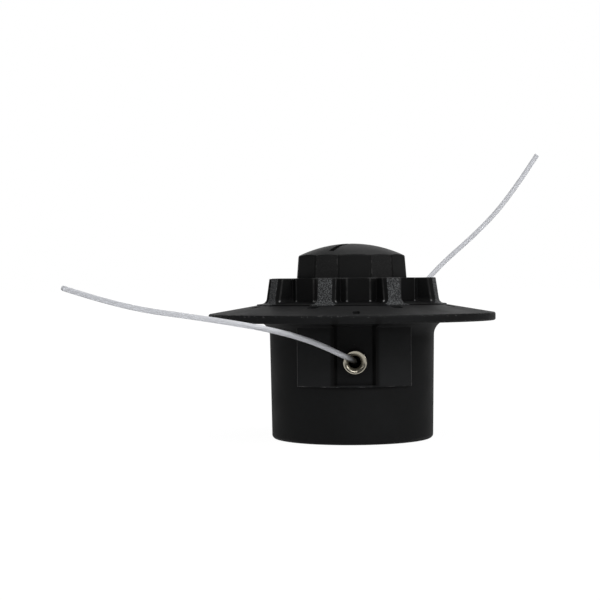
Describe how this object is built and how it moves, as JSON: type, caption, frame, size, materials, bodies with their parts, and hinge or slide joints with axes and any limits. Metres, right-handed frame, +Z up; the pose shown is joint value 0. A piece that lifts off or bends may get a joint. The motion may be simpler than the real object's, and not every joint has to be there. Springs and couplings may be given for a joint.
{
  "type": "bump feed trimmer head",
  "caption": "Round line-trimmer head with a wide guard flange, castellated twist-lock cover, domed bump knob, metal line eyelets and free ends of nylon line.",
  "frame": {"origin": "on the turning axis, at the foot that the head stands on", "axes": "+Z up along the turning axis towards the bump knob, -Y through the front eyelet"},
  "size_m": [0.2251, 0.1436, 0.1346],
  "materials": {
    "housing_plastic": "fine-textured black nylon",
    "cover_plastic": "spark-eroded black nylon",
    "knob_plastic": "satin black nylon",
    "spool_plastic": "plain black nylon",
    "eyelet_nickel": "nickel plate",
    "arbor_steel": "turned, zinc plated",
    "washer_steel": "stamped, zinc plated",
    "spring_steel": "oiled spring wire",
    "nylon_line": "translucent extruded nylon"
  },
  "bodies": {
    "housing": {"housing": "housing_plastic", "front_eyelet": "eyelet_nickel", "rear_eyelet": "eyelet_nickel", "drive_arbor": "arbor_steel", "arbor_retainer": "arbor_steel", "spring_seat": "washer_steel", "spool_spring": "spring_steel", "front_line_tail": "nylon_line", "rear_line_tail": "nylon_line"},
    "cover": {"cover": "cover_plastic"},
    "thrust_washer": {"thrust_washer": "washer_steel"},
    "spool": {"spool": "spool_plastic", "line_winding": "nylon_line", "bump_knob": "knob_plastic"}
  },
  "joints": [
    {"name": "bump", "type": "slide", "parent": "housing", "child": "thrust_washer", "axis": [0, 0, -1], "range_m": [0, 0.006], "stiffness_N_per_m": 900, "springref_m": -0.012, "deforming": ["spool_spring"]},
    {"name": "spool_index", "type": "hinge", "parent": "thrust_washer", "child": "spool", "pos_m": [0, 0, 0.04], "axis": [0, 0, 1], "range_deg": [0, 30.1]},
    {"name": "cover_twist", "type": "hinge", "parent": "housing", "child": "cover", "pos_m": [0, 0, 0.06], "axis": [0, 0, 1], "range_deg": [0, 15]}
  ],
  "couplings": [
    {"joint": "spool_index", "follows": "bump", "rad_per_m": 87.266}
  ]
}
